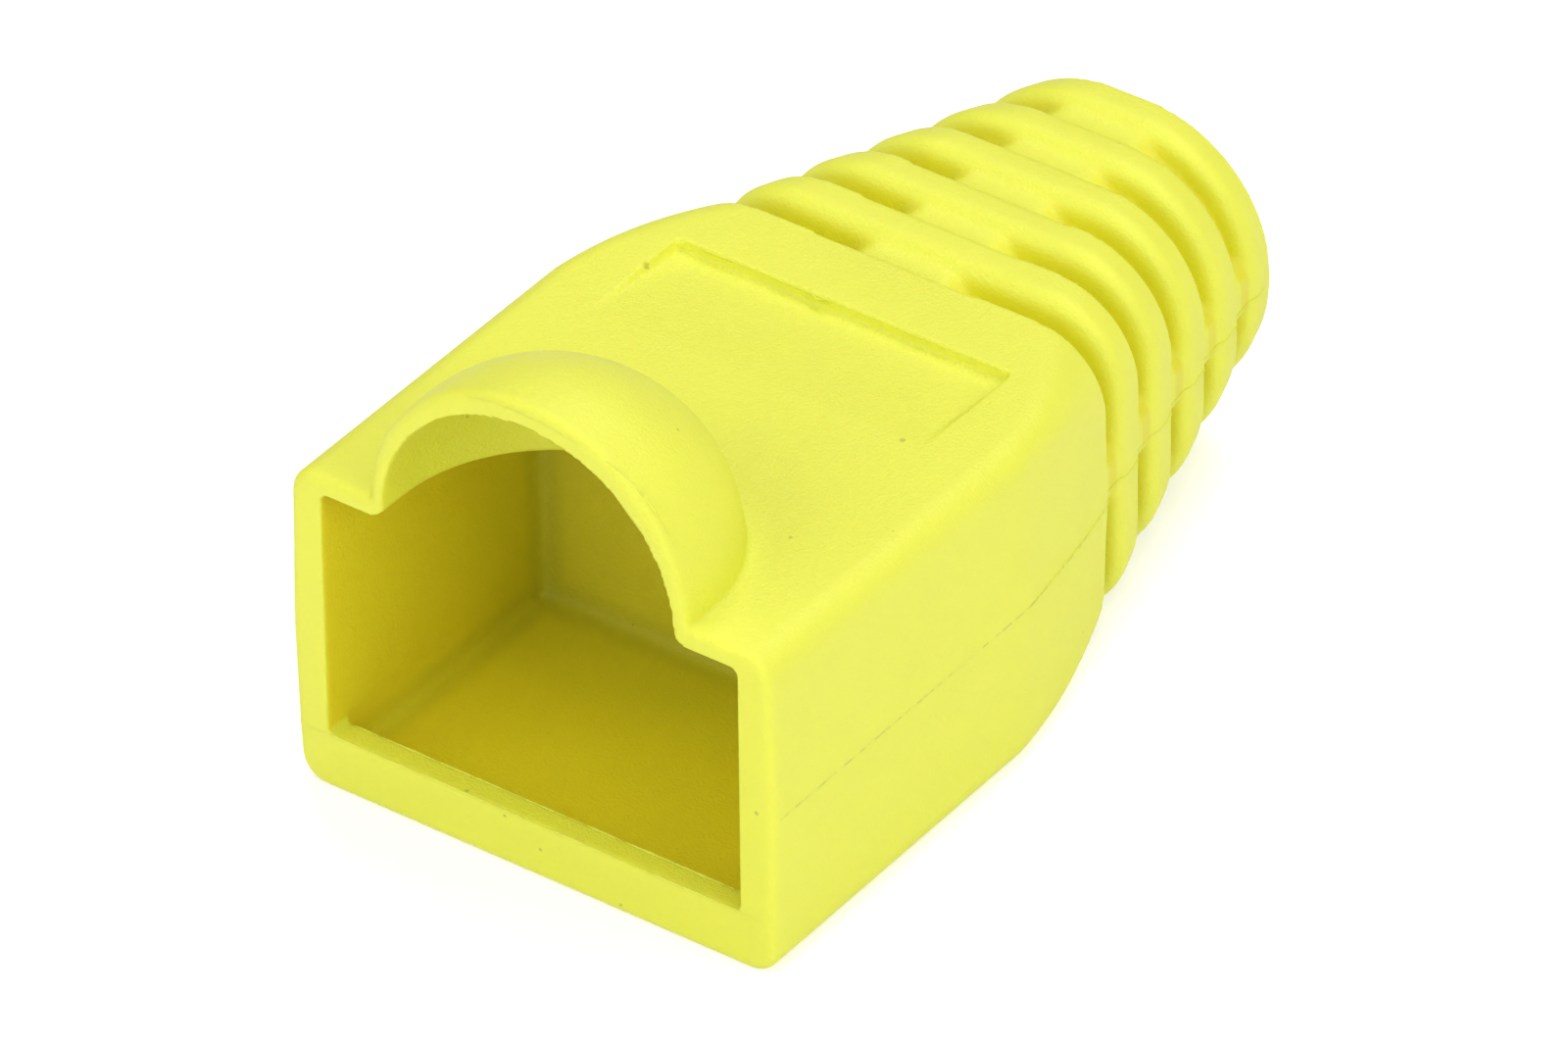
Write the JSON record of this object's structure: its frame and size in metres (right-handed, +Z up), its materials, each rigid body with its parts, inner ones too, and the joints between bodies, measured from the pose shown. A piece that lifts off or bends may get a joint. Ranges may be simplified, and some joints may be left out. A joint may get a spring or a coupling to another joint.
{
  "type": "rj45 strain relief boot",
  "caption": "Soft plastic boot with a box-shaped sleeve for a modular plug, a domed hood over its latch and a tapering slotted tube that lets the cable bend gently.",
  "frame": {"origin": "under the middle of the moulding, on the plane of its flat underside", "axes": "+Y from the plug mouth to the cable end along the length, +Z up from the flat underside to the latch hood, +X across"},
  "size_m": [0.0138, 0.0242, 0.0135],
  "materials": {
    "pvc": "matt"
  },
  "bodies": {
    "root": {"boot": "pvc"}
  },
  "joints": []
}
